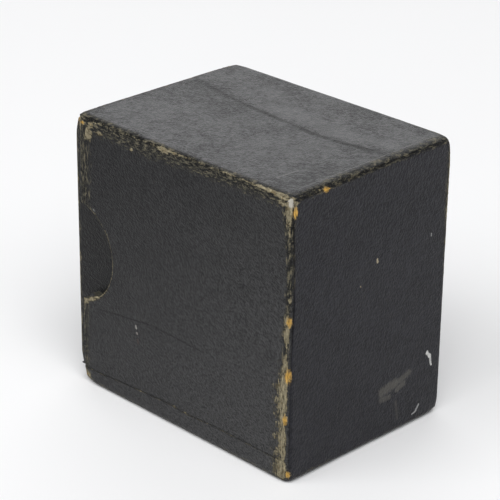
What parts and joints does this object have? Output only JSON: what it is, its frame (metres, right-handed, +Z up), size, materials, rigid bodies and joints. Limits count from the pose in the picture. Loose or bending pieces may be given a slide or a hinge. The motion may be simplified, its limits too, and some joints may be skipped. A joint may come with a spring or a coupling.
{
  "type": "rosin cake",
  "caption": "Rigid paper-covered slip case with half-moon thumb notches and an inner tray that slides out of one end, holding a cloth-backed cake of rosin.",
  "frame": {"origin": "centre of the face that the case stands on", "axes": "+Z up; +X from the case's open mouth to its closed end, so the tray slides out along -X; -Y is the front wall, with the thumb notch that the picture shows"},
  "size_m": [0.054, 0.0374, 0.0508],
  "materials": {
    "strawboard": "coarse yellow strawboard, matt",
    "stay_tape": "gummed kraft paper, matt",
    "black_cover": "coated paper with a fine leather grain, satin, worn at the edges",
    "lining_paper": "plain laid paper, matt, aged",
    "cushion_cloth": "cotton flannel over wadding",
    "cake_cloth": "cotton velvet",
    "rosin": "amber, translucent, glossy where it is not powdered"
  },
  "bodies": {
    "case": {"case_board_front": "strawboard", "case_board_back": "strawboard", "case_board_top": "strawboard", "case_board_bottom": "strawboard", "case_board_end": "strawboard", "case_edge_stays": "stay_tape", "case_cover_wrap": "black_cover", "case_cover_foot": "black_cover", "case_cover_end": "black_cover", "case_mouth_turn_in": "black_cover", "case_lining_sleeve": "lining_paper", "case_lining_end": "lining_paper"},
    "tray": {"tray_board_front": "strawboard", "tray_board_back": "strawboard", "tray_board_outer_end": "strawboard", "tray_board_inner_end": "strawboard", "tray_board_floor": "strawboard", "tray_edge_stays": "stay_tape", "tray_cover_band": "black_cover", "tray_cover_base": "black_cover", "tray_rim_turn_in": "black_cover", "tray_lining_walls": "lining_paper", "tray_lining_floor": "lining_paper", "cake_cushion": "cushion_cloth"},
    "cake": {"cake_cloth": "cake_cloth", "rosin_cake": "rosin"}
  },
  "joints": [
    {"name": "tray_slide", "type": "slide", "parent": "case", "child": "tray", "axis": [-1, 0, 0], "range_m": [-0.0032, 0.0455]},
    {"name": "cake_lift", "type": "slide", "parent": "tray", "child": "cake", "axis": [0, 0, 1], "range_m": [0, 0.011]}
  ]
}
